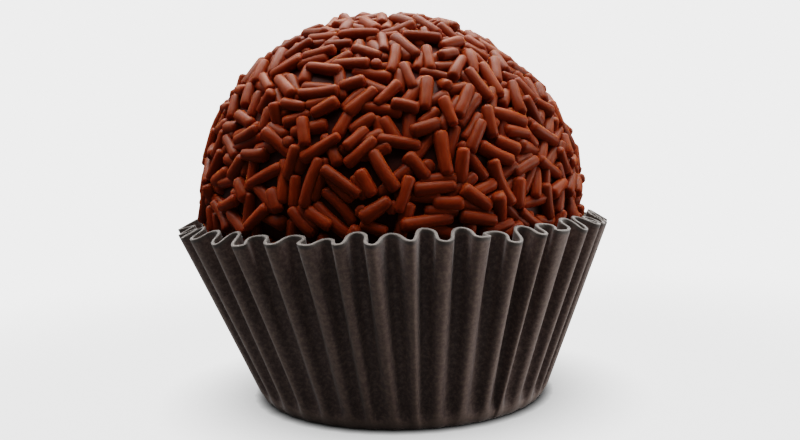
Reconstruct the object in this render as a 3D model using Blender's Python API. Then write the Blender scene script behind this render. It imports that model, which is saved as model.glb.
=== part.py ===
"""Brigadeiro: a hand-rolled chocolate fudge ball coated in sprinkles, standing in its fluted paper case.

Metres, +Z up. The origin is the middle of the base, where the paper case stands on the table.
Angles round the case start at the front (-Y) and grow towards +X.
"""
import math
import random

import bmesh
import bpy
from mathutils import Vector, noise

MM = 0.001

# Paper case: a round sheet pressed into straight flutes
FLUTES = 44
BASE_RADIUS = 12.95 * MM         # where the ridges' straight lines would meet the floor
RIM_RADIUS = 19.2 * MM           # ridges, at the rim
RIDGE_HEIGHT = 15.2 * MM
FOLD_RISE = 0.7 * MM             # how much higher the inward folds stand
FOOT_HEIGHT = 1.2 * MM           # below this the flutes fade out into a rounded foot
FOOT_ROUND = 0.45 * MM           # how far the foot draws in
FOOT_FLUTE_DEPTH = 0.08 * MM     # from ridge to inward fold: at the floor, above the foot and at the rim
LOW_FLUTE_DEPTH = 0.5 * MM
RIM_FLUTE_DEPTH = 1.45 * MM
DEPTH_GROWTH = 1.4               # power by which the flutes deepen up the wall
PAPER = 0.25 * MM
BASE_SHIFT = 0.6 * MM            # the base stands this far to +X of the rim
FIRST_FLUTE = math.radians(-67.5)
BUNCHING = 0.113                 # flutes crowd together on the +X side
RIDGE_WANDER = math.radians(1.5)
FOLD_WANDER = math.radians(0.6)
FLUTE_SEED = 125108
BASE_SWING = 0.7                 # how far the paper's direction swings through a flute, in radians
RIM_SWING = 1.3
STEPS_PER_FOLD = 4
WALL_RINGS = (0.0, FOOT_HEIGHT / RIDGE_HEIGHT, 0.45, 0.8, 1.0)

# Sweet: the ball out to the sprinkles that coat it
BALL_RADIUS = 17.4 * MM
BALL_CENTRE = Vector((-0.1 * MM, 0.0, 16.7 * MM))
BALL_SEGMENTS = 44
BALL_RINGS = 24
CLEARANCE = 0.3 * MM
BUMP_HEIGHT = 0.64 * MM
BUMP_SPACING = 8.5 * MM
BUMP_START = Vector((3089.35, 1601.05, 4803.15))   # which stretch of the noise shapes the ball
CROWN = Vector((-0.14, -0.17, 0.98))               # the direction of the ball's highest part
CROWN_RISE = 0.4 * MM
CROWN_SPREAD = math.radians(16)

MATERIALS = {
    "brown_paper": ((0.045, 0.034, 0.030, 1.0), 0.75),
    "chocolate_sprinkles": ((0.19, 0.045, 0.016, 1.0), 0.45),
}


def clear_scene():
    for item in list(bpy.data.objects):
        bpy.data.objects.remove(item, do_unlink=True)


def material(name):
    colour, roughness = MATERIALS[name]
    made = bpy.data.materials.new(name)
    made.use_nodes = True
    shader = made.node_tree.nodes["Principled BSDF"]
    shader.inputs["Base Color"].default_value = colour
    shader.inputs["Roughness"].default_value = roughness
    shader.inputs["Metallic"].default_value = 0.0
    return made


def add_object(name, mesh_source, material_name):
    """Links a finished bmesh as a smooth-shaded object with its material."""
    mesh = bpy.data.meshes.new(name)
    mesh_source.to_mesh(mesh)
    mesh_source.free()
    mesh.shade_smooth()
    mesh.set_sharp_from_angle(angle=math.radians(60))
    mesh.materials.append(material(material_name))
    made = bpy.data.objects.new(name, mesh)
    bpy.context.scene.collection.objects.link(made)
    return made


def mix(start, end, share):
    return start + (end - start) * share


def fold_angles():
    """Angles of all fold lines round the case: a ridge, the inward fold after it, the next ridge, and so on."""
    wander = random.Random(FLUTE_SEED)
    ridges = []
    for i in range(FLUTES):
        even = FIRST_FLUTE + 2 * math.pi * i / FLUTES
        ridges.append(even + BUNCHING * math.cos(even) + wander.gauss(0, RIDGE_WANDER))
    ridges.append(ridges[0] + 2 * math.pi)
    angles = []
    for this, following in zip(ridges, ridges[1:]):
        angles += [this, (this + following) / 2 + wander.gauss(0, FOLD_WANDER)]
    return angles + [ridges[-1]]


def fold_curve(swing):
    """Shares of the way along and across half a flute, for paper whose direction swings out and back by `swing`."""
    fine = 24
    along, across = [0.0], [0.0]
    for i in range(fine * STEPS_PER_FOLD):
        direction = swing * math.sin(math.pi * (i + 0.5) / (fine * STEPS_PER_FOLD))
        along.append(along[-1] + math.cos(direction))
        across.append(across[-1] + math.sin(direction))
    return [(along[i * fine] / along[-1], across[i * fine] / across[-1]) for i in range(STEPS_PER_FOLD)]


def above_foot(share):
    """0 at the floor and 1 from the top of the foot, for a share of the wall's height."""
    return min(share * RIDGE_HEIGHT / FOOT_HEIGHT, 1.0)


def ridge_radius(share):
    return mix(BASE_RADIUS, RIM_RADIUS, share) - FOOT_ROUND * (1 - above_foot(share)) ** 2


def flute_depth(share):
    depth = mix(LOW_FLUTE_DEPTH, RIM_FLUTE_DEPTH, share ** DEPTH_GROWTH)
    return mix(FOOT_FLUTE_DEPTH, depth, above_foot(share))


def fold_point(fold, share):
    """Radius and height of a fold line at a share of the wall's height; even folds are ridges."""
    ridge = ridge_radius(share)
    if fold % 2 == 0:
        return ridge, RIDGE_HEIGHT * share
    return ridge - flute_depth(share), (RIDGE_HEIGHT + FOLD_RISE) * share


def place(angle, radius, height):
    """A point of the case, whose axis leans from the base's middle to the rim's."""
    shift = BASE_SHIFT * (1 - height / RIDGE_HEIGHT)
    return Vector((shift + radius * math.sin(angle), -radius * math.cos(angle), height))


def wall_ring(angles, share):
    """The points once round the fluted wall at a share of its height."""
    curve = fold_curve(mix(BASE_SWING, RIM_SWING, share))
    points = []
    for fold in range(2 * FLUTES):
        radius, height = fold_point(fold, share)
        next_radius, next_height = fold_point(fold + 1, share)
        for along, across in curve:
            angle = mix(angles[fold], angles[fold + 1], along)
            points.append(place(angle, mix(radius, next_radius, across), mix(height, next_height, across)))
    return points


def build_paper_case():
    """Flat floor and fluted wall, drawn up ring by ring from a disc and given the paper's thickness."""
    angles = fold_angles()
    case = bmesh.new()
    made = bmesh.ops.create_circle(
        case, cap_ends=True, cap_tris=True, segments=2 * FLUTES * STEPS_PER_FOLD, radius=BASE_RADIUS
    )
    middle = max(made["verts"], key=lambda vert: len(vert.link_edges))
    middle.co.x += BASE_SHIFT
    ring = sorted((vert for vert in made["verts"] if vert is not middle), key=lambda vert: vert.index)
    for vert, point in zip(ring, wall_ring(angles, 0.0)):
        vert.co = point
    for share in WALL_RINGS[1:]:
        edges = [case.edges.get((this, ring[i - 1])) for i, this in enumerate(ring)]
        raised = bmesh.ops.extrude_edge_only(case, edges=edges)["geom"]
        above = {vert for vert in raised if isinstance(vert, bmesh.types.BMVert)}
        ring = [next(e.other_vert(v) for e in v.link_edges if e.other_vert(v) in above) for v in ring]
        for vert, point in zip(ring, wall_ring(angles, share)):
            vert.co = point
    bmesh.ops.recalc_face_normals(case, faces=case.faces)
    if middle.link_faces[0].normal.z > 0:
        bmesh.ops.reverse_faces(case, faces=case.faces)
    bmesh.ops.solidify(case, geom=case.faces[:], thickness=PAPER)
    bmesh.ops.recalc_face_normals(case, faces=case.faces)
    return add_object("paper_case", case, "brown_paper")


def room_in_case(height):
    """How far from the case's axis the sweet may reach at a height, clear of the inward folds."""
    share = min(height / (RIDGE_HEIGHT + FOLD_RISE), 1.0)
    return ridge_radius(share) - flute_depth(share) - PAPER - CLEARANCE


def lump(outward):
    """How far the hand-rolled ball stands out from a true ball in a direction."""
    bump = BUMP_HEIGHT * noise.noise(outward * (BALL_RADIUS / BUMP_SPACING) + BUMP_START)
    return bump + CROWN_RISE * math.exp(-(outward.angle(CROWN) / CROWN_SPREAD) ** 2)


def build_sweet():
    """The coated ball: slightly uneven, flattened where it sits and pressed in by the case."""
    ball = bmesh.new()
    bmesh.ops.create_uvsphere(ball, u_segments=BALL_SEGMENTS, v_segments=BALL_RINGS, radius=BALL_RADIUS)
    foot = PAPER + CLEARANCE
    rim_top = RIDGE_HEIGHT + FOLD_RISE
    for vert in ball.verts:
        outward = vert.co.normalized()
        vert.co += outward * lump(outward) + BALL_CENTRE
        vert.co.z = max(vert.co.z, foot)
        if vert.co.z > rim_top:
            continue
        axis = Vector((BASE_SHIFT * (1 - vert.co.z / RIDGE_HEIGHT), 0.0, vert.co.z))
        reach = (vert.co - axis).length
        room = room_in_case(vert.co.z)
        if reach > room:
            vert.co = axis + (vert.co - axis) * (room / reach)
    return add_object("sweet", ball, "chocolate_sprinkles")


def main():
    clear_scene()
    build_paper_case()
    build_sweet()


if __name__ == "__main__":
    main()
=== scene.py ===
"""A brigadeiro: a hand-rolled chocolate fudge ball under chocolate sprinkles, in its fluted paper case."""
import math
import random
from typing import NamedTuple

import bmesh
import bpy
import numpy as np
from bpy.props import FloatProperty, FloatVectorProperty, IntProperty, PointerProperty
from mathutils import Matrix, Vector, noise


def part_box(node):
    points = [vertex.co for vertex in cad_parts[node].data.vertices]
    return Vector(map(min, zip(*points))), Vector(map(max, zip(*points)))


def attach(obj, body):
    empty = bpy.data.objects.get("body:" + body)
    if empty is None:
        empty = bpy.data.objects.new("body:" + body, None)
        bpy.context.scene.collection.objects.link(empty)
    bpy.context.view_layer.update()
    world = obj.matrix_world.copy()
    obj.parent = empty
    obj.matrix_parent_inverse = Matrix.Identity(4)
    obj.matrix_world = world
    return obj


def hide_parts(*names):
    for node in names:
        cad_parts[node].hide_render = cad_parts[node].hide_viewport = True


bl_info = {
    "name": "Brigadeiro",
    "version": (1, 0, 0),
    "blender": (4, 5, 0),
    "location": "3D View > Sidebar > Brigadeiro",
    "description": "Builds a sprinkled chocolate fudge ball in a fluted paper case",
    "category": "Add Mesh",
}

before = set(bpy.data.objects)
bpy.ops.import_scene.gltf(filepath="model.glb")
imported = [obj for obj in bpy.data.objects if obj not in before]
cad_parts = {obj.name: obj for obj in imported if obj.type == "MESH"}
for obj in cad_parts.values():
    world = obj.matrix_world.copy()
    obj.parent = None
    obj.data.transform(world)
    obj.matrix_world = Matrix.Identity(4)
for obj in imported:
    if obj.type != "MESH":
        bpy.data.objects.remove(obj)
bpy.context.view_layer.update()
CASE_LOW, CASE_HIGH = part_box("paper_case")
MM = 0.001


def tint(hex_colour):
    """Linear red, green and blue of an sRGB hex colour."""
    parts = [int(hex_colour[i:i + 2], 16) / 255 for i in (1, 3, 5)]
    return tuple(p / 12.92 if p <= 0.04045 else ((p + 0.055) / 1.055) ** 2.4 for p in parts)


# ---------------------------------------------------------------- sizes and colours

def length(name, description, default):
    return FloatProperty(name=name, description=description, default=default, unit="LENGTH", precision=5)


def angle(name, description, degrees):
    return FloatProperty(name=name, description=description, default=math.radians(degrees), subtype="ANGLE")


def share(name, description, default):
    return FloatProperty(name=name, description=description, default=default, subtype="FACTOR")


def number(name, description, default):
    return FloatProperty(name=name, description=description, default=default)


def count(name, description, default):
    return IntProperty(name=name, description=description, default=default, min=1)


def colour(name, description, hex_colour):
    return FloatVectorProperty(
        name=name, description=description, default=tint(hex_colour), subtype="COLOR", min=0, max=1
    )


class CaseSizes(bpy.types.PropertyGroup):
    """The fluted paper case."""

    flutes: count("Flutes", "Ridges round the case", 44)
    base_radius: length("Base radius", "From the base's middle to its ridges", 12.95 * MM)
    rim_radius: length("Rim radius", "From the rim's middle to its ridges", (CASE_HIGH.x - CASE_LOW.x) / 2)
    fold_height: length("Fold height", "Height of the inward folds of the rim", CASE_HIGH.z)
    fold_rise: length("Fold rise", "How far the ridges stand lower than the inward folds", 0.7 * MM)
    foot_depth: length("Foot flute depth", "From ridge to inward fold at the floor", 0.08 * MM)
    low_depth: length("Low flute depth", "From ridge to inward fold just above the floor", 0.45 * MM)
    rim_depth: length("Rim flute depth", "From ridge to inward fold at the rim", 1.45 * MM)
    depth_growth: number("Depth growth", "Power by which the flutes deepen up the wall", 1.4)
    foot_height: length("Foot height", "How high the wall's rounded foot reaches", 1.2 * MM)
    foot_round: length("Foot round", "How far the rounded foot draws in", 0.45 * MM)
    fade_start: length("Fade start", "Below this height the flutes are as shallow as at the floor", 0.5 * MM)
    fade_end: length("Fade end", "Above this height the flutes are fully pressed", 2.0 * MM)
    base_shift: length("Base shift", "How far the base stands to +X of the rim", 0.6 * MM)
    thickness: length("Paper thickness", "Thickness of the wall", 0.24 * MM)
    edge_height: length("Edge height", "How far the pale cut edge reaches down the wall", 0.38 * MM)
    first_flute: angle("First flute", "Where the count of the flutes starts, from the front", -67.5)
    bunching: share("Bunching", "How strongly the flutes crowd together at +X", 0.113)
    ridge_wander: angle("Ridge wander", "How unevenly the ridges are spaced", 1.5)
    fold_wander: angle("Fold wander", "How far the inward folds stray from the middle", 0.6)
    drift: angle("Drift", "How far a fold line strays sideways on its way down", 0.5)
    depth_wander: length("Depth wander", "How unevenly the fold lines stand out at the rim", 0.12 * MM)
    edge_wander: length("Edge wander", "How unevenly the rim is cut", 0.16 * MM)
    rim_lean: length("Rim lean", "How far the rim is lower at -X than in the middle", 0.2 * MM)
    side_rise: length("Side rise", "How much higher the rim is cut where it is furthest to -X", 0.5 * MM)
    base_swing: number("Base swing", "Radians that the paper swings in a flute at the floor", 0.8)
    rim_swing: number("Rim swing", "Radians that the paper swings in a flute at the rim", 1.45)
    swing_wander: number("Swing wander", "How unevenly the flutes curl, in radians", 0.22)
    swing_crowding: number("Swing crowding", "More curl where the flutes crowd, in radians", 0.3)
    swing_limit: number("Swing limit", "The most that a flute curls, in radians", 1.9)
    spacing_seed: count("Spacing seed", "Picks the uneven spacing", 125108)
    curl_seed: count("Curl seed", "Picks the uneven curl and cut", 7)
    steps: count("Steps", "Mesh steps in half a flute", 10)
    rings: count("Rings", "Mesh rings up the straight wall", 24)


class SweetSizes(bpy.types.PropertyGroup):
    """The fudge ball and the sprinkles on it."""

    radius: length("Radius", "From the ball's centre to the outside of the sprinkles", 17.4 * MM)
    centre_x: length("Centre X", "Where the ball's centre lies", -0.1 * MM)
    centre_z: length("Centre Z", "Height of the ball's centre", 16.7 * MM)
    crown_rise: length("Crown rise", "How much higher the ball's crown is rolled", 0.4 * MM)
    crown_spread: angle("Crown spread", "How far round the ball the crown reaches", 16)
    bump_height: length("Bump height", "Unevenness of the hand-rolled ball", 0.64 * MM)
    bump_spacing: length("Bump spacing", "Distance between bumps", 8.5 * MM)
    upper_sprinkles: count("Upper sprinkles", "Sprinkles that lie on top", 730)
    lower_sprinkles: count("Lower sprinkles", "Sprinkles pressed deep into the fudge", 900)
    thickness: length("Sprinkle thickness", "Diameter of a sprinkle", 1.05 * MM)
    spacing: length("Spacing", "Gap that sprinkles keep beside each other", 0.03 * MM)
    shortest: length("Shortest", "Length of the shortest sprinkles", 1.7 * MM)
    longest: length("Longest", "Length of the longest sprinkles", 4.4 * MM)
    layer_drop: length("Layer drop", "How much deeper the lower sprinkles lie", 0.35 * MM)
    cover: length("Cover", "From the outside of the sprinkles down to the fudge", 0.92 * MM)
    rounds: count("Rounds", "Rounds in which the sprinkles settle", 240)
    seed: count("Seed", "Picks the scatter of the sprinkles", 11)


class Finishes(bpy.types.PropertyGroup):
    """Colours of the materials."""

    sprinkle: colour("Sprinkle", "Chocolate sprinkles", "#7e3005")
    sprinkle_dark: colour("Dark sprinkle", "The darkest chocolate sprinkles", "#6c2804")
    fudge: colour("Fudge", "Cooked chocolate fudge", "#38140a")
    paper: colour("Paper", "Brown greaseproof paper", "#4d3b36")
    # Painted highlight: this paler paper is painted along the ridges, for light catching them along with
    # rubbed wear, and on the foot.
    paper_highlight_and_wear: colour("Worn paper", "Brown greaseproof paper where its creases are rubbed", "#7e6a60")
    paper_edge: colour("Paper edge", "Cut edge of the paper", "#544c46")
    floor: colour("Floor", "Table top", "#303030")
    backdrop: colour("Backdrop", "What the camera sees behind", "#ffffff")


class StageSizes(bpy.types.PropertyGroup):
    """Camera and lights."""

    distance: length("Camera distance", "From the case's axis", 75 * MM)
    height: length("Camera height", "Above the table", 21.3 * MM)
    aside: length("Camera aside", "To +X of the case's axis", 0.61 * MM)
    pitch: angle("Pitch", "How far the camera looks down", 4.38)
    roll: angle("Roll", "How far the camera leans", -1.51)
    lens: FloatProperty(
        name="Lens", description="Focal length on a 36 mm sensor", default=36.7, unit="CAMERA"
    )
    floor_radius: length("Floor radius", "Where the floor has faded into the backdrop", 90 * MM)
    floor_glow: number("Floor glow", "Brightness of the floor to the camera", 1.28)
    floor_light: number("Floor light", "Light that the floor gives the sweet", 0.12)
    # Painted shadow: these set how far ambient occlusion darkens the floor's glow round the sweet and under
    # its foot.
    shadow_reach: length("Shadow reach", "How far the sweet shades the glowing floor", 9 * MM)
    contact_reach: length("Contact reach", "How far the dark line under the foot reaches", 0.9 * MM)
    room_light: number("Room light", "Brightness of the room round the lights", 0.03)
    backdrop_glow: number("Backdrop glow", "Brightness of the backdrop to the camera", 1.72)
    exposure: number("Exposure", "Stops by which the picture is brightened", 0.5)


class BrigadeiroSettings(bpy.types.PropertyGroup):
    """All settings of the model."""

    case: PointerProperty(type=CaseSizes)
    sweet: PointerProperty(type=SweetSizes)
    finish: PointerProperty(type=Finishes)
    stage: PointerProperty(type=StageSizes)


# ---------------------------------------------------------------- helpers

def mix(start, end, amount):
    return start + (end - start) * amount


def add_piece(name, source, finish, body="root"):
    """Links a finished bmesh as a smooth piece with its material, riding on a body."""
    mesh = bpy.data.meshes.new(name)
    source.to_mesh(mesh)
    source.free()
    mesh.shade_smooth()
    mesh.materials.append(finish)
    piece = bpy.data.objects.new(name, mesh)
    bpy.context.scene.collection.objects.link(piece)
    if body:
        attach(piece, body)
    return piece


def add_node(tree, kind, inputs=None, **settings):
    """Adds a node with its settings, and gives each named input a link or a value."""
    node = tree.nodes.new(kind)
    for key, value in settings.items():
        setattr(node, key, value)
    for key, value in (inputs or {}).items():
        if isinstance(value, bpy.types.NodeSocket):
            tree.links.new(value, node.inputs[key])
        else:
            node.inputs[key].default_value = value
    return node


def new_material(name):
    """An empty Principled material: its node tree and its shader."""
    made = bpy.data.materials.new(name)
    made.use_nodes = True
    return made, made.node_tree, made.node_tree.nodes["Principled BSDF"]


# ---------------------------------------------------------------- materials

PASTE_MOTTLE = 0.7 * MM        # lighter and darker patches of the cocoa paste
PASTE_GRAIN = 0.14 * MM        # sugar grains are 0.02 mm: drawn coarser, so that they show
FUDGE_WRINKLES = 0.8 * MM
PAPER_FIBRES = 0.3 * MM        # matted fibres are 0.03 mm thick: drawn coarser, so that they show


def sprinkle_material(finish):
    """Chocolate sprinkles: extruded cocoa and sugar paste, cut, tumbled and thinly glazed.
    The glaze gives a soft satin shine, and the paste a faintly grainy, mottled surface."""
    made, tree, shader = new_material("glazed_chocolate_sprinkles")
    tone = add_node(tree, "ShaderNodeAttribute", attribute_name="tone")
    place = add_node(tree, "ShaderNodeTexCoord").outputs["Object"]
    mottle = add_node(tree, "ShaderNodeTexNoise", {"Vector": place, "Scale": 1 / PASTE_MOTTLE, "Detail": 3.0})
    shade = add_node(tree, "ShaderNodeMath", {0: mottle.outputs["Fac"], 1: 0.5}, operation="MULTIPLY")
    shade = add_node(tree, "ShaderNodeMath", {0: shade.outputs[0], 1: tone.outputs["Fac"]}, operation="ADD")
    shade = add_node(
        tree, "ShaderNodeMath", {0: shade.outputs[0], 1: 0.25}, operation="SUBTRACT", use_clamp=True
    )
    paste = add_node(
        tree, "ShaderNodeMix",
        {0: shade.outputs[0], 6: (*finish.sprinkle_dark, 1), 7: (*finish.sprinkle, 1)},
        data_type="RGBA",
    )
    tree.links.new(paste.outputs[2], shader.inputs["Base Color"])
    grain = add_node(tree, "ShaderNodeTexNoise", {"Vector": place, "Scale": 1 / PASTE_GRAIN, "Detail": 2.0})
    bump = add_node(
        tree, "ShaderNodeBump", {"Height": grain.outputs["Fac"], "Strength": 0.5, "Distance": 0.03 * MM}
    )
    tree.links.new(bump.outputs["Normal"], shader.inputs["Normal"])
    shader.inputs["Roughness"].default_value = 0.42
    shader.inputs["Specular IOR Level"].default_value = 0.065
    shader.inputs["Diffuse Roughness"].default_value = 1.0
    shader.inputs["Subsurface Weight"].default_value = 0.5
    shader.inputs["Subsurface Scale"].default_value = 0.6 * MM
    shader.inputs["Subsurface Radius"].default_value = (1.0, 0.6, 0.4)
    return made


def fudge_material(finish):
    """Cooked condensed-milk and cocoa fudge: dense, sticky and glossy, with a wrinkled skin."""
    made, tree, shader = new_material("cooked_chocolate_fudge")
    place = add_node(tree, "ShaderNodeTexCoord").outputs["Object"]
    skin = add_node(tree, "ShaderNodeTexNoise", {"Vector": place, "Scale": 1 / FUDGE_WRINKLES, "Detail": 3.0})
    bump = add_node(
        tree, "ShaderNodeBump", {"Height": skin.outputs["Fac"], "Strength": 0.6, "Distance": 0.15 * MM}
    )
    tree.links.new(bump.outputs["Normal"], shader.inputs["Normal"])
    shader.inputs["Base Color"].default_value = (*finish.fudge, 1)
    shader.inputs["Roughness"].default_value = 0.45
    shader.inputs["Specular IOR Level"].default_value = 0.06
    return made


FOOT_PALENESS = 1.12   # the foot is painted paler than the ridges, for which the crest attribute is 1


def paper_material(finish):
    """Dyed greaseproof paper, pressed into flutes: matte with a faint sheen and short matted fibres.
    Its ridges are painted paler, a painted highlight along with rubbed wear; its foot is painted paler too,
    and its cut edge is pale."""
    made, tree, shader = new_material("brown_greaseproof_paper")
    place = add_node(tree, "ShaderNodeTexCoord").outputs["Object"]
    edge = add_node(tree, "ShaderNodeAttribute", attribute_name="edge").outputs["Fac"]
    crest = add_node(tree, "ShaderNodeAttribute", attribute_name="crest").outputs["Fac"]
    fibres = add_node(
        tree, "ShaderNodeTexNoise",
        {"Vector": place, "Scale": 1 / PAPER_FIBRES, "Detail": 5.0, "Roughness": 0.7},
    )
    # Painted highlight: the paper is painted paler near the ridges, for light catching them along with rubbed
    # wear, and paler on the foot.
    painted_highlight_and_wear = add_node(
        tree, "ShaderNodeMapRange", {"Value": crest, "From Min": 0.75, "From Max": FOOT_PALENESS, "To Max": 0.75}
    )
    fleck = add_node(
        tree, "ShaderNodeMapRange",
        {"Value": fibres.outputs["Fac"], "From Min": 0.42, "From Max": 0.64, "To Max": 0.6},
    )
    painted_highlight_wear_and_fleck = add_node(
        tree, "ShaderNodeMath", {0: painted_highlight_and_wear.outputs[0], 1: fleck.outputs[0]}, operation="ADD", use_clamp=True
    )
    sheet = add_node(
        tree, "ShaderNodeMix",
        {0: painted_highlight_wear_and_fleck.outputs[0], 6: (*finish.paper, 1), 7: (*finish.paper_highlight_and_wear, 1)},
        data_type="RGBA",
    )
    cut = add_node(
        tree, "ShaderNodeMix", {0: edge, 6: sheet.outputs[2], 7: (*finish.paper_edge, 1)}, data_type="RGBA"
    )
    tree.links.new(cut.outputs[2], shader.inputs["Base Color"])
    bump = add_node(
        tree, "ShaderNodeBump", {"Height": fibres.outputs["Fac"], "Strength": 0.5, "Distance": 0.03 * MM}
    )
    tree.links.new(bump.outputs["Normal"], shader.inputs["Normal"])
    shader.inputs["Roughness"].default_value = 0.6
    shader.inputs["Sheen Weight"].default_value = 0.2
    shader.inputs["Sheen Roughness"].default_value = 0.5
    return made


# ---------------------------------------------------------------- paper case

class Fold(NamedTuple):
    """One fold line of the wall, and the half flute that runs on from it to the next one."""

    angle: float       # round the case, at the rim
    drift: float       # how much further round it stands at the floor
    out: float         # how far the rim's fold stands out from its usual place
    rise: float        # how much higher the rim is cut here
    swing: float       # how far the paper's direction swings out and back in the half flute


SIDE_PEAK = 40                          # power that narrows the rim's peak at -X to a few flutes
FOOT_RINGS = (0.03, 0.1, 0.22, 0.4, 0.6, 0.8)   # mesh rings at shares of the foot
EDGE_RINGS = (0.25, 0.5, 0.75, 1.0)     # mesh rings at shares of the pale cut edge
EDGE_FADE = 0.6                         # share of the cut edge over which it turns pale


def side_height(case, angle):
    """How much higher than elsewhere the rim stands: it sinks towards -X, but for a peak at the side."""
    side = max(-math.sin(angle), 0)
    return case.side_rise * side ** SIDE_PEAK - case.rim_lean * side


def make_folds(case):
    """All fold lines round the case: a ridge, the inward fold after it, the next ridge, and so on."""
    wander = random.Random(case.spacing_seed)
    ridges = []
    for i in range(case.flutes):
        even = case.first_flute + 2 * math.pi * i / case.flutes
        ridges.append(even + case.bunching * math.cos(even) + wander.gauss(0, case.ridge_wander))
    ridges.append(ridges[0] + 2 * math.pi)
    curl = random.Random(case.curl_seed)
    folds = []
    for this, following in zip(ridges, ridges[1:]):
        for place in (this, (this + following) / 2 + wander.gauss(0, case.fold_wander)):
            crowding = case.swing_crowding * max(math.sin(place), 0)
            folds.append(Fold(
                angle=place,
                drift=curl.gauss(0, case.drift),
                out=curl.gauss(0, case.depth_wander),
                rise=curl.gauss(0, case.edge_wander) + side_height(case, place),
                swing=min(curl.gauss(case.rim_swing, case.swing_wander) + crowding, case.swing_limit),
            ))
    return folds


def fold_curve(swing, steps):
    """Shares of the way along and across half a flute, for paper whose direction swings out and back."""
    fine = 12   # short stretches of paper summed for each step of the mesh
    along, across = [0.0], [0.0]
    for i in range(fine * steps):
        direction = swing * math.sin(math.pi * (i + 0.5) / (fine * steps))
        along.append(along[-1] + math.cos(direction))
        across.append(across[-1] + math.sin(direction))
    return [(along[i * fine] / along[-1], across[i * fine] / across[-1]) for i in range(steps)]


def ease(start, end, value):
    """0 below the start, 1 above the end, and smooth in between."""
    part = min(max((value - start) / (end - start), 0), 1)
    return part * part * (3 - 2 * part)


def pressed(case, up):
    """0 in the foot, 1 where the flutes are fully pressed, at a share of the wall's height."""
    return ease(case.fade_start, case.fade_end, up * case.fold_height)


def flute_depth(case, up):
    """From the ridges to the inward folds, at a share of the wall's height: hardly any at the foot."""
    depth = mix(case.low_depth, case.rim_depth, up ** case.depth_growth)
    return mix(case.foot_depth, depth, pressed(case, up))


def wall_radius(case, up):
    """From the case's axis to the ridges at a share of the wall's height, drawn in at the rounded foot."""
    bend = 1 - min(up * case.fold_height / case.foot_height, 1)
    return mix(case.base_radius, case.rim_radius, up) - case.foot_round * (1 - math.sqrt(1 - bend * bend))


def case_axis(case, height):
    """X of the case's axis, which leans from the base's middle to the rim's."""
    return case.base_shift * (1 - height / (case.fold_height - case.fold_rise))


def fold_place(case, folds, i, up):
    """Angle, radius and height of a fold line at a share of the wall's height; even folds are ridges."""
    fold = folds[i % len(folds)]
    turn = fold.angle + fold.drift * (1 - up) + (2 * math.pi if i == len(folds) else 0)
    radius = wall_radius(case, up) + fold.out * up * up
    height = (case.fold_height - case.fold_rise) * up + fold.rise * up ** 3
    if i % 2:
        return turn, radius - flute_depth(case, up), height + case.fold_rise * up
    return turn, radius, height


def wall_ring(case, folds, up):
    """The points once round the fluted wall at a share of its height, and how near each is to a ridge."""
    points = []
    for i, fold in enumerate(folds):
        this, following = fold_place(case, folds, i, up), fold_place(case, folds, i + 1, up)
        for along, across in fold_curve(mix(case.base_swing, fold.swing, up), case.steps):
            turn = mix(this[0], following[0], along)
            out, tall = mix(this[1], following[1], across), mix(this[2], following[2], across)
            place = Vector((case_axis(case, tall) + out * math.sin(turn), -out * math.cos(turn), tall))
            points.append((place, across if i % 2 else 1 - across))
    return points


def ring_heights(case):
    """Shares of the wall's height for the mesh rings: close together at the foot and at the cut edge."""
    foot = case.foot_height / case.fold_height
    edge = 1 - case.edge_height / case.fold_height
    low = [foot * part for part in FOOT_RINGS]
    straight = [mix(foot, edge, i / case.rings) for i in range(case.rings + 1)]
    return low + straight + [mix(edge, 1, part) for part in EDGE_RINGS]


def raise_ring(mesh, ring):
    """Extrudes a closed ring of vertices and returns the new ring."""
    edges = [mesh.edges.get((this, ring[i - 1])) for i, this in enumerate(ring)]
    raised = bmesh.ops.extrude_edge_only(mesh, edges=edges)["geom"]
    above = {vert for vert in raised if isinstance(vert, bmesh.types.BMVert)}
    return [next(e.other_vert(v) for e in v.link_edges if e.other_vert(v) in above) for v in ring]


class BRIGADEIRO_OT_paper_case(bpy.types.Operator):
    """Build the fluted paper case"""

    bl_idname = "brigadeiro.paper_case"
    bl_label = "Paper case"

    def execute(self, context):
        settings = context.scene.brigadeiro
        case = settings.case
        folds = make_folds(case)
        paper = bmesh.new()
        # crest: nearness to a ridge, and more on the foot; the paper material paints these places paler, a
        # painted highlight along with wear.
        crest = paper.verts.layers.float.new("crest")
        edge = paper.verts.layers.float.new("edge")

        def lay(ring, up, edge_share):
            for vert, (place, nearness) in zip(ring, wall_ring(case, folds, up)):
                vert.co = place
                vert[crest] = mix(FOOT_PALENESS, nearness, pressed(case, up))
                vert[edge] = edge_share

        around = 2 * case.flutes * case.steps
        made = bmesh.ops.create_circle(paper, cap_ends=True, cap_tris=True, segments=around, radius=1.0)
        middle = max(made["verts"], key=lambda vert: len(vert.link_edges))
        middle.co.x = case.base_shift
        ring = [vert for vert in made["verts"] if vert is not middle]
        lay(ring, 0.0, 0.0)
        pale = 1 - case.edge_height / case.fold_height
        for up in ring_heights(case):
            ring = raise_ring(paper, ring)
            lay(ring, up, ease(pale, mix(pale, 1, EDGE_FADE), up))
        bmesh.ops.recalc_face_normals(paper, faces=paper.faces)
        if middle.link_faces[0].normal.z > 0:
            bmesh.ops.reverse_faces(paper, faces=paper.faces)
        bmesh.ops.solidify(paper, geom=paper.faces[:], thickness=case.thickness)
        bmesh.ops.recalc_face_normals(paper, faces=paper.faces)
        piece = add_piece("fluted_paper_case", paper, paper_material(settings.finish))
        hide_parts("paper_case")
        return {"FINISHED"}


# ---------------------------------------------------------------- sweet

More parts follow.
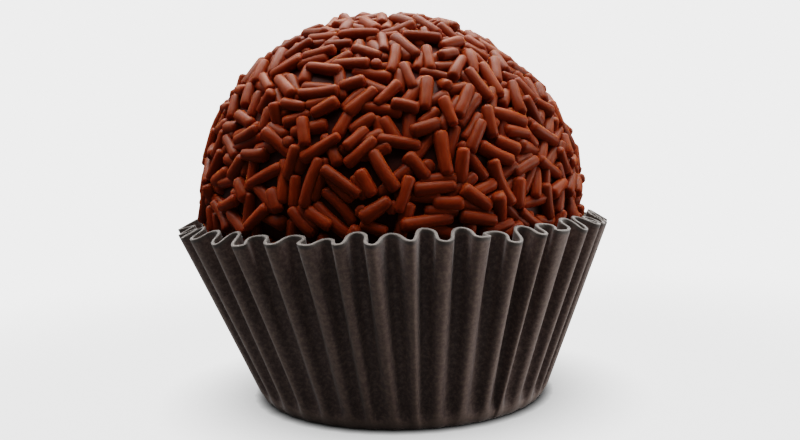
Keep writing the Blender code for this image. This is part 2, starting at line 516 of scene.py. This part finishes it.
BUMP_START = Vector((3089.35, 1601.05, 4803.15))   # which stretch of the noise shapes the ball
PATCH_START = Vector((7.3, 1.1, 4.9))              # which stretch turns the patches of sprinkles
CROWN = Vector((-0.14, -0.17, 0.98))               # the ball's highest part
LOWEST_SPRINKLE = -0.72                            # the ball's flat foot below this has none, in ball radii
PATCH_FINENESS = 2.6                               # patches of one direction to a ball's radius
PATCH_TURN = 5.0                                   # how far round the patches turn, in radians
STRAYS = 0.4                                       # shares of the scattered sprinkles: lying askew,
ON_END = 0.05                                      # standing on end,
TILTED = 0.15                                      # and with one end raised


def ball_radius(sweet, outward):
    """Distance from the ball's centre to the outside of the sprinkles in a direction."""
    outward = Vector(outward)
    bump = noise.noise(outward * (sweet.radius / sweet.bump_spacing) + BUMP_START)
    crown = math.exp(-(outward.angle(CROWN) / sweet.crown_spread) ** 2)
    return sweet.radius + sweet.bump_height * bump + sweet.crown_rise * crown


def room_in_case(case, height):
    """How far from the case's axis the sweet may reach at a height, clear of the inward folds."""
    up = min(height / case.fold_height, 1)
    return wall_radius(case, up) - flute_depth(case, up) - case.thickness - 2 * case.depth_wander * up


def dot(a, b):
    return np.einsum("ij,ij->i", a, b)


def unit(a):
    return a / np.linalg.norm(a, axis=-1, keepdims=True)


def spread_out(n, turn):
    """Directions evenly spread over a sphere, turned round its axis."""
    step = np.arange(n) + 0.5
    polar = np.arccos(1 - 2 * step / n)
    around = math.pi * (1 + math.sqrt(5)) * step + turn
    return np.stack([np.sin(polar) * np.cos(around), np.sin(polar) * np.sin(around), np.cos(polar)], 1)


def compass(outward):
    """Unit vectors to the right and upwards along the ball's surface."""
    east = unit(np.cross((0, 0, 1), outward))
    return east, np.cross(outward, east)


def along_surface(outward, heading):
    """Unit vectors along the ball's surface with the given headings."""
    east, north = compass(outward)
    return east * np.cos(heading)[:, None] + north * np.sin(heading)[:, None]


def nearest_shares(a0, a1, b0, b1):
    """Where two rods come closest, as shares of the way along each."""
    u, v, w = a1 - a0, b1 - b0, a0 - b0
    uu, uv, vv, uw, vw = dot(u, u), dot(u, v), dot(v, v), dot(u, w), dot(v, w)
    s = np.clip((uv * vw - vv * uw) / np.maximum(uu * vv - uv * uv, 1e-18), 0, 1)
    t = np.clip((uv * s + vw) / np.maximum(vv, 1e-18), 0, 1)
    s = np.clip((uv * t - uw) / np.maximum(uu, 1e-18), 0, 1)
    return s, t


class Coat:
    """Sprinkles as straight rods with round ends, scattered on the ball and then pushed apart.
    First comes the upper layer, then the lower layer."""

    def __init__(self, settings):
        self.case, self.sweet = settings.case, settings.sweet
        self.rng = np.random.default_rng(self.sweet.seed)
        self.centre = np.array((self.sweet.centre_x, 0.0, self.sweet.centre_z))
        self.heights = np.linspace(0, self.case.fold_height, 60)
        self.rooms = np.array([room_in_case(self.case, height) for height in self.heights])
        self.outward, self.direction, self.long = np.empty((0, 3)), np.empty((0, 3)), np.empty(0)
        self.scatter(spread_out(self.sweet.upper_sprinkles, 0.0))
        self.upper = len(self.outward)
        self.scatter(spread_out(self.sweet.lower_sprinkles, 1.0))
        self.place()

    def scatter(self, places):
        """Adds sprinkles near the places, in patches of one direction, with strays and bits on end."""
        places = places[places[:, 2] > LOWEST_SPRINKLE]
        rng, n = self.rng, len(places)
        outward = unit(places + rng.normal(0, 0.02, (n, 3)))
        direction = along_surface(outward, self.headings(outward))
        long = mix(self.sweet.shortest, self.sweet.longest, rng.beta(2.2, 3.0, n))
        on_end = rng.random(n) < ON_END
        direction[on_end] = unit(outward[on_end] + rng.normal(0, 0.25, (on_end.sum(), 3)))
        long[on_end] = self.sweet.shortest
        self.outward = np.concatenate([self.outward, outward])
        self.direction = np.concatenate([self.direction, direction])
        self.long = np.concatenate([self.long, long])

    def headings(self, outward):
        """Sprinkles in a patch share a direction, from which each sways and the strays turn right away."""
        patch = np.array([noise.noise(Vector(o) * PATCH_FINENESS + PATCH_START) for o in outward])
        strays = self.rng.random(len(outward)) < STRAYS
        sway = self.rng.normal(0, 0.5, len(outward)) + strays * self.rng.uniform(-1.5, 1.5, len(outward))
        return PATCH_TURN * patch + sway

    def place(self):
        """Works out each rod's radius, how high each of its ends should lie, and where it starts."""
        rng, n = self.rng, len(self.outward)
        lower = np.arange(n) >= self.upper
        self.radius = self.sweet.thickness / 2 * rng.uniform(0.86, 1.1, n)
        self.half = np.maximum(self.long / 2 - self.radius, 0.2 * self.radius)
        self.lift = rng.normal(0, 0.07 * MM, (2, n)) - np.where(lower, self.sweet.layer_drop, 0)
        tilted = ~lower & (rng.random(n) < TILTED)
        self.lift[0] += tilted * rng.uniform(0.1, 0.3, n) * MM
        self.lift[1] -= tilted * rng.uniform(0.2, 0.5, n) * MM
        on_end = np.abs(dot(self.direction, self.outward)) > 0.6
        self.lift[0] = np.where(on_end, self.lift[0] - 2 * self.half, self.lift[0])
        self.shell = np.array([ball_radius(self.sweet, o) for o in self.outward]) - self.radius
        self.set_ends(self.centre + self.outward * (self.shell + self.lift.mean(0))[:, None], self.direction)

    def set_ends(self, middle, direction):
        """Puts the ends of all rods on both sides of their middles."""
        reach = direction * self.half[:, None]
        self.ends = np.stack([middle - reach, middle + reach])

    def neighbours(self):
        """The pairs of rods that could touch."""
        middle = self.ends.mean(0)
        apart = np.linalg.norm(middle[:, None] - middle[None], axis=2)
        reach = self.half + self.radius
        near = apart < reach[:, None] + reach[None] + 0.2 * MM
        return np.nonzero(np.triu(near, 1))

    def push_apart(self, first, second):
        """Neighbours in a layer slide apart along the ball; a lower sprinkle is pressed down."""
        (a0, a1), (b0, b1) = self.ends[:, first], self.ends[:, second]
        s, t = nearest_shares(a0, a1, b0, b1)
        between = (a0 + (a1 - a0) * s[:, None]) - (b0 + (b1 - b0) * t[:, None])
        gap = np.maximum(np.linalg.norm(between, axis=1), 1e-9)
        same = (first < self.upper) == (second < self.upper)
        reach = self.radius[first] + self.radius[second]
        overlap = np.where(same, reach + self.sweet.spacing, 0.6 * reach) - gap
        hit = overlap > 0
        first, second, s, t, overlap, same = first[hit], second[hit], s[hit], t[hit], overlap[hit], same[hit]
        away = between[hit] / gap[hit][:, None]
        up = unit(self.ends[:, first].mean(0) - self.centre)
        rise = dot(away, up)
        away += up * np.where(same, -0.9 * rise, np.maximum(rise, 0.4) - rise)[:, None]
        push = away * (0.45 * overlap)[:, None]
        move = np.zeros_like(self.ends)
        for rods, where, sign, alone in ((first, s, 1, 0.0), (second, t, -1, 1.0)):
            part = np.where(same, 0.5, alone)
            weight = sign * part / ((1 - where) ** 2 + where ** 2)
            np.add.at(move[0], rods, push * (weight * (1 - where))[:, None])
            np.add.at(move[1], rods, push * (weight * where)[:, None])
        self.ends += move

    def pull_down(self):
        """Draws each end towards the height at which it should lie."""
        out = self.ends - self.centre
        far = np.linalg.norm(out, axis=2)
        excess = far - (self.shell + self.lift)
        self.ends -= out * (excess * np.where(excess > 0, 0.2, 0.3) / far)[:, :, None]

    def keep_in_case(self):
        """Moves ends in from the paper and up from the case's floor."""
        tall = self.ends[:, :, 2]
        room = np.interp(tall, self.heights, self.rooms) - self.radius
        axis = self.case.base_shift * (1 - tall / (self.case.fold_height - self.case.fold_rise))
        x = self.ends[:, :, 0] - axis
        reach = np.maximum(np.hypot(x, self.ends[:, :, 1]), 1e-9)
        inside = np.where(tall < self.case.fold_height, np.minimum(room / reach, 1), 1.0)
        self.ends[:, :, 0] = axis + x * inside
        self.ends[:, :, 1] *= inside
        self.ends[:, :, 2] = np.maximum(tall, 2 * self.case.thickness + self.radius)

    def keep_lengths(self):
        """Gives the rods back the lengths that the other steps have stretched."""
        self.set_ends(self.ends.mean(0), unit(self.ends[1] - self.ends[0]))

    def settle(self):
        """Repeats the steps until the sprinkles lie close together with little overlap."""
        for i in range(self.sweet.rounds):
            if i % 10 == 0:
                first, second = self.neighbours()
                self.outward = unit(self.ends.mean(0) - self.centre)
                self.shell = np.array([ball_radius(self.sweet, o) for o in self.outward]) - self.radius
            self.push_apart(first, second)
            self.pull_down()
            self.keep_in_case()
            self.keep_lengths()


SPRINKLE_SIDES = 8
SPRINKLE_RINGS = (   # height and radius
    (-1.55, 0.50), (-1.38, 0.84), (-1.0, 1.0), (-0.33, 1.0),
    (0.33, 1.0), (1.0, 1.0), (1.38, 0.84), (1.55, 0.50),
)
BLUNTNESS = 0.47     # each round end is flatter than half a ball by this share of the radius
UNEVEN = 0.07        # how much thicker one end is than the other
BOW = 0.06           # how far a sprinkle bends, as a share of half its length


def sprinkle_template():
    """One rod of unit radius along Z: beyond 1 and -1 lie its rounded ends."""
    rod = bmesh.new()
    bmesh.ops.create_circle(rod, cap_ends=True, segments=SPRINKLE_SIDES, radius=SPRINKLE_RINGS[0][1])
    bmesh.ops.translate(rod, verts=rod.verts, vec=(0, 0, SPRINKLE_RINGS[0][0]))
    bottom = top = rod.faces[:][0]
    for (low, narrow), (high, wide) in zip(SPRINKLE_RINGS, SPRINKLE_RINGS[1:]):
        made = bmesh.ops.extrude_face_region(rod, geom=[top])["geom"]
        if top is not bottom:
            bmesh.ops.delete(rod, geom=[top], context="FACES_ONLY")
        top = next(item for item in made if isinstance(item, bmesh.types.BMFace))
        bmesh.ops.scale(rod, verts=top.verts, vec=(wide / narrow, wide / narrow, 1))
        bmesh.ops.translate(rod, verts=top.verts, vec=(0, 0, high - low))
    bmesh.ops.recalc_face_normals(rod, faces=rod.faces)
    mesh = bpy.data.meshes.new("sprinkle_template")
    rod.to_mesh(mesh)
    rod.free()
    return mesh


class BRIGADEIRO_OT_sprinkles(bpy.types.Operator):
    """Lay the sprinkles on the ball"""

    bl_idname = "brigadeiro.sprinkles"
    bl_label = "Sprinkles"

    def execute(self, context):
        settings = context.scene.brigadeiro
        coat = Coat(settings)
        coat.settle()
        n = len(coat.half)
        template = sprinkle_template()
        rods = bmesh.new()
        for _ in range(n):
            rods.from_mesh(template)
        shape = np.array([vert.co for vert in template.vertices])
        bpy.data.meshes.remove(template)
        piece = add_piece("chocolate_sprinkles", rods, sprinkle_material(settings.finish))
        rng = coat.rng
        middle = coat.ends.mean(0)
        axis = unit(coat.ends[1] - coat.ends[0])
        outward = unit(middle - coat.centre + 1e-6)
        side = unit(np.cross(axis, outward + 0.01 * rng.normal(size=(n, 3))))
        over = np.cross(side, axis)
        body = np.clip(shape[:, 2], -1, 1)
        end = shape[:, 2] - body
        straight = coat.half + coat.radius * BLUNTNESS
        along = body[None] * straight[:, None] + end[None] * coat.radius[:, None]
        wide = 1 + rng.normal(0, UNEVEN, n)[:, None] * body[None]
        bend = rng.normal(0, BOW, n) * coat.half
        turn = rng.uniform(0, 2 * math.pi, n)
        bow = (1 - body ** 2)[None] * bend[:, None]
        x = shape[None, :, 0] * coat.radius[:, None] * wide + bow * np.cos(turn)[:, None]
        y = shape[None, :, 1] * coat.radius[:, None] * wide + bow * np.sin(turn)[:, None]
        points = middle[:, None] + axis[:, None] * along[..., None]
        points = points + side[:, None] * x[..., None] + over[:, None] * y[..., None]
        piece.data.vertices.foreach_set("co", points.astype(np.float32).ravel())
        tone = piece.data.attributes.new("tone", "FLOAT", "POINT")
        tone.data.foreach_set("value", np.repeat(rng.random(n), len(shape)).astype(np.float32))
        piece.data.update()
        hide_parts("sweet")
        return {"FINISHED"}


DIMPLE_DEPTH = 0.12 * MM
DIMPLE_SPACING = 1.4 * MM


class BRIGADEIRO_OT_fudge_ball(bpy.types.Operator):
    """Build the fudge ball under the sprinkles"""

    bl_idname = "brigadeiro.fudge_ball"
    bl_label = "Fudge ball"

    def execute(self, context):
        settings = context.scene.brigadeiro
        sweet, case = settings.sweet, settings.case
        ball = bmesh.new()
        bmesh.ops.create_icosphere(ball, subdivisions=6, radius=1.0)
        centre = Vector((sweet.centre_x, 0, sweet.centre_z))
        for vert in ball.verts:
            outward = vert.co.normalized()
            dimple = DIMPLE_DEPTH * noise.noise(outward * (sweet.radius / DIMPLE_SPACING))
            vert.co = centre + outward * (ball_radius(sweet, outward) - sweet.cover + dimple)
            vert.co.z = max(vert.co.z, 2 * case.thickness)
            if vert.co.z < case.fold_height:
                axis = Vector((case_axis(case, vert.co.z), 0, vert.co.z))
                room = room_in_case(case, vert.co.z) - sweet.cover
                vert.co = axis + (vert.co - axis) * min(1, room / max((vert.co - axis).length, 1e-6))
        piece = add_piece("fudge_ball", ball, fudge_material(settings.finish))
        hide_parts("sweet")
        return {"FINISHED"}


# ---------------------------------------------------------------- stage

LIGHT_DISTANCE = 1.2
LIT_HEIGHT = 15 * MM     # the soft boxes face this height above the table


def add_light(name, around, up, wide, tall, power):
    """A soft box at degrees round from the front and degrees up, turned to the sweet."""
    around, up = math.radians(around), math.radians(up)
    way = Vector((math.cos(up) * math.sin(around), -math.cos(up) * math.cos(around), math.sin(up)))
    data = bpy.data.lights.new(name, "AREA")
    data.shape = "RECTANGLE"
    data.size = wide
    data.size_y = tall
    data.energy = power
    light = bpy.data.objects.new(name, data)
    light.location = Vector((0, 0, LIT_HEIGHT)) + way * LIGHT_DISTANCE
    light.rotation_euler = way.to_track_quat("Z", "Y").to_euler()
    light.visible_camera = False
    bpy.context.scene.collection.objects.link(light)


def studio_world(stage, finish):
    """A dim room round the soft boxes; the camera sees a plain pale backdrop."""
    world = bpy.data.worlds.new("studio")
    world.use_nodes = True
    tree = world.node_tree
    seen = add_node(tree, "ShaderNodeLightPath").outputs["Is Camera Ray"]
    room = [stage.room_light] * 3
    backdrop = [part * stage.backdrop_glow for part in finish.backdrop]
    sky = add_node(tree, "ShaderNodeMix", {0: seen, 6: (*room, 1), 7: (*backdrop, 1)}, data_type="RGBA")
    tree.links.new(sky.outputs[2], tree.nodes["Background"].inputs["Color"])
    return world


SKY_LEAN = (-0.62, -0.42, 0.66)   # leans the ambient occlusion that darkens the sweep's glow, so that its painted shadow falls to +X
SHADOW_POWER = 1.1                # how dark the painted soft shadow and the painted line under the foot are
CONTACT_POWER = 1.6
FADE_START = 0.35                 # where the sweep starts to fade, as a share of its radius


def floor_material(stage, finish):
    """A matte white acrylic sweep, which shines from within and fades into the backdrop. Its glow is painted
    darker near the sweet by ambient occlusion: a painted soft shadow to one side, and a painted dark line
    under the foot."""
    made, tree, shader = new_material("matte_white_sweep")
    shader.inputs["Base Color"].default_value = (*finish.floor, 1)
    shader.inputs["Roughness"].default_value = 0.8
    shader.inputs["Specular IOR Level"].default_value = 0.0
    shader.inputs["Emission Color"].default_value = (*finish.backdrop, 1)
    # Painted shadow: ambient occlusion darkens the sweep's glow near the sweet and in a thin line under the
    # foot.
    open_sky = add_node(
        tree, "ShaderNodeAmbientOcclusion", {"Distance": stage.shadow_reach, "Normal": SKY_LEAN}, samples=16
    )
    contact = add_node(tree, "ShaderNodeAmbientOcclusion", {"Distance": stage.contact_reach}, samples=16)
    soft = add_node(tree, "ShaderNodeMath", {0: open_sky.outputs["AO"], 1: SHADOW_POWER}, operation="POWER")
    line = add_node(tree, "ShaderNodeMath", {0: contact.outputs["AO"], 1: CONTACT_POWER}, operation="POWER")
    shadow = add_node(tree, "ShaderNodeMath", {0: soft.outputs[0], 1: line.outputs[0]}, operation="MULTIPLY")
    seen = add_node(tree, "ShaderNodeLightPath").outputs["Is Camera Ray"]
    strength = add_node(
        tree, "ShaderNodeMapRange", {"Value": seen, "To Min": stage.floor_light, "To Max": stage.floor_glow}
    )
    glow = add_node(
        tree, "ShaderNodeMath", {0: shadow.outputs[0], 1: strength.outputs[0]}, operation="MULTIPLY"
    )
    tree.links.new(glow.outputs[0], shader.inputs["Emission Strength"])
    place = add_node(tree, "ShaderNodeTexCoord").outputs["Object"]
    far = add_node(tree, "ShaderNodeVectorMath", {0: place}, operation="LENGTH").outputs["Value"]
    fade = add_node(
        tree, "ShaderNodeMapRange",
        {"Value": far, "From Min": FADE_START * stage.floor_radius, "From Max": stage.floor_radius},
        interpolation_type="SMOOTHSTEP",
    )
    clear = add_node(tree, "ShaderNodeBsdfTransparent")
    blend = add_node(
        tree, "ShaderNodeMixShader", {0: fade.outputs[0], 1: shader.outputs[0], 2: clear.outputs[0]}
    )
    tree.links.new(blend.outputs[0], tree.nodes["Material Output"].inputs["Surface"])
    return made


SOFT_BOXES = (
    # name, degrees round from the front, degrees up, width and height in metres, watts
    ("overhead_softbox", 180, 80, 1.6, 1.6, 14.0),
    ("left_high_softbox", 225, 75, 1.6, 1.6, 18.0),
    ("right_high_softbox", 135, 75, 1.6, 1.6, 13.0),
    ("left_back_softbox", 225, 50, 1.6, 1.6, 6.0),
    ("right_back_softbox", 135, 50, 1.6, 1.6, 9.0),
    ("left_softbox", 270, 30, 1.6, 1.6, 1.8),
    ("right_softbox", 90, 30, 1.6, 1.6, 2.0),
    ("low_right_softbox", 90, 5, 1.0, 0.5, 6.0),
)


class BRIGADEIRO_OT_stage(bpy.types.Operator):
    """Set up the camera, the lights and the floor"""

    bl_idname = "brigadeiro.stage"
    bl_label = "Stage"

    def execute(self, context):
        settings = context.scene.brigadeiro
        stage = settings.stage
        data = bpy.data.cameras.new("camera")
        data.lens = stage.lens
        data.sensor_width = 36
        data.clip_start = 1 * MM
        data.clip_end = 10
        camera = bpy.data.objects.new("camera", data)
        look = Matrix.Rotation(math.pi / 2 - stage.pitch, 4, "X") @ Matrix.Rotation(stage.roll, 4, "Z")
        camera.matrix_world = Matrix.Translation((stage.aside, -stage.distance, stage.height)) @ look
        context.scene.collection.objects.link(camera)
        context.scene.camera = camera
        context.scene.view_settings.view_transform = "Filmic"
        context.scene.view_settings.look = "Medium High Contrast"
        context.scene.view_settings.exposure = stage.exposure
        context.scene.world = studio_world(stage, settings.finish)

        floor = bmesh.new()
        bmesh.ops.create_circle(floor, cap_ends=True, segments=64, radius=stage.floor_radius)
        table = add_piece("floor", floor, floor_material(stage, settings.finish), None)
        for light in SOFT_BOXES:
            add_light(*light)
        return {"FINISHED"}


# ---------------------------------------------------------------- add-on

class BRIGADEIRO_PT_panel(bpy.types.Panel):
    """Buttons for each piece"""

    bl_label = "Brigadeiro"
    bl_idname = "BRIGADEIRO_PT_panel"
    bl_space_type = "VIEW_3D"
    bl_region_type = "UI"
    bl_category = "Brigadeiro"

    def draw(self, context):
        for operator in OPERATORS:
            self.layout.operator(operator.bl_idname)


OPERATORS = (
    BRIGADEIRO_OT_stage,
    BRIGADEIRO_OT_paper_case,
    BRIGADEIRO_OT_fudge_ball,
    BRIGADEIRO_OT_sprinkles,
)
CLASSES = (CaseSizes, SweetSizes, Finishes, StageSizes, BrigadeiroSettings, *OPERATORS, BRIGADEIRO_PT_panel)


def register():
    for kind in CLASSES:
        bpy.utils.register_class(kind)
    bpy.types.Scene.brigadeiro = PointerProperty(type=BrigadeiroSettings)


def unregister():
    del bpy.types.Scene.brigadeiro
    for kind in reversed(CLASSES):
        bpy.utils.unregister_class(kind)


def main():
    register()
    for operator in OPERATORS:
        group, name = operator.bl_idname.split(".")
        getattr(getattr(bpy.ops, group), name)()


if __name__ == "__main__":
    main()
